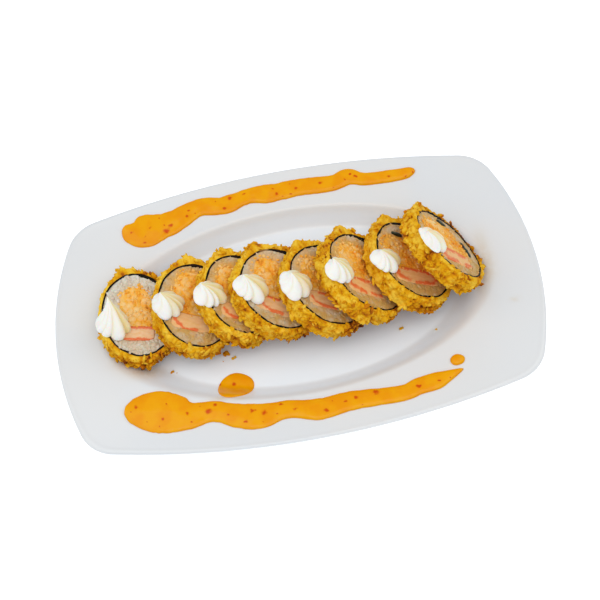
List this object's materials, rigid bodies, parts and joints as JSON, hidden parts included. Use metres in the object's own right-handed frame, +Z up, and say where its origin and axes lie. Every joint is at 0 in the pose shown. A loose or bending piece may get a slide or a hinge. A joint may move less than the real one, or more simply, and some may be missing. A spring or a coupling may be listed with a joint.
{
  "type": "fried sushi roll plate",
  "caption": "Crumbed, deep-fried sushi roll cut into leaning slices with piped cream, served on an oblong white plate with two trails of sweet chilli sauce.",
  "frame": {"origin": "on the table, under the middle of the plate", "axes": "+X along the plate, towards the slice that stands steepest; +Y across it, away from the viewer; +Z up"},
  "size_m": [0.28, 0.171, 0.0683],
  "materials": {
    "crust": "rough golden crumb",
    "nori": "satin",
    "rice": "moist satin",
    "filling": "moist satin",
    "crab": "moist satin",
    "cream": "soft gloss",
    "green": "satin",
    "porcelain": "glazed",
    "sauce": "wet gloss"
  },
  "bodies": {
    "root": {"crust_1": "crust", "nori_1": "nori", "rice_1": "rice", "filling_1": "filling", "crab_1": "crab", "cream_1": "cream", "crust_2": "crust", "nori_2": "nori", "rice_2": "rice", "filling_2": "filling", "crab_2": "crab", "cream_2": "cream", "crust_3": "crust", "nori_3": "nori", "rice_3": "rice", "filling_3": "filling", "crab_3": "crab", "cream_3": "cream", "crust_4": "crust", "nori_4": "nori", "rice_4": "rice", "filling_4": "filling", "crab_4": "crab", "cream_4": "cream", "crust_5": "crust", "nori_5": "nori", "rice_5": "rice", "filling_5": "filling", "crab_5": "crab", "cream_5": "cream", "crust_6": "crust", "nori_6": "nori", "rice_6": "rice", "filling_6": "filling", "crab_6": "crab", "cream_6": "cream", "crust_7": "crust", "nori_7": "nori", "rice_7": "rice", "filling_7": "filling", "crab_7": "crab", "cream_7": "cream", "crust_8": "crust", "nori_8": "nori", "rice_8": "rice", "filling_8": "filling", "crab_8": "crab", "cream_8": "cream", "green_7": "green", "green_8a": "green", "green_8b": "green", "plate": "porcelain", "sauce_far": "sauce", "sauce_near": "sauce", "sauce_drop_large": "sauce", "sauce_drop_small": "sauce"}
  },
  "joints": []
}
